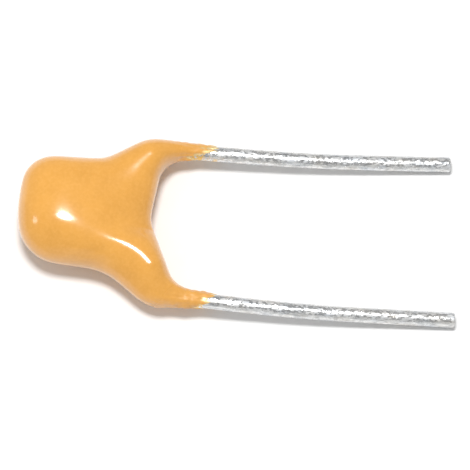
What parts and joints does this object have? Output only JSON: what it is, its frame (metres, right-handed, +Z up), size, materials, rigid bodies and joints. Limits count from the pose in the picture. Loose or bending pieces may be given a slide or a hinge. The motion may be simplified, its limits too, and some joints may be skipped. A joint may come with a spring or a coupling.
{
  "type": "multilayer ceramic capacitor",
  "caption": "Radial-lead ceramic capacitor: dipped epoxy body that flares towards its tinned wire leads, over a ceramic chip with interleaved electrode plates.",
  "frame": {"origin": "centre of the part's box on the surface that it lies on", "axes": "+X from the body towards the lead tips, +Y from lead b towards lead a, +Z up"},
  "size_m": [0.0144, 0.0058, 0.0022],
  "materials": {
    "epoxy": "gloss",
    "ceramic": "matte",
    "electrode_metal": "satin",
    "termination_metal": "satin",
    "solder": "satin",
    "tinned_wire": "satin"
  },
  "bodies": {
    "root": {"epoxy_coating": "epoxy", "ceramic_body": "ceramic", "electrode_a1": "electrode_metal", "electrode_a2": "electrode_metal", "electrode_a3": "electrode_metal", "electrode_a4": "electrode_metal", "electrode_a5": "electrode_metal", "electrode_a6": "electrode_metal", "electrode_b1": "electrode_metal", "electrode_b2": "electrode_metal", "electrode_b3": "electrode_metal", "electrode_b4": "electrode_metal", "electrode_b5": "electrode_metal", "electrode_b6": "electrode_metal", "end_termination_a": "termination_metal", "end_termination_b": "termination_metal", "solder_joint_a": "solder", "solder_joint_b": "solder", "lead_wire_a": "tinned_wire", "lead_wire_b": "tinned_wire"}
  },
  "joints": []
}
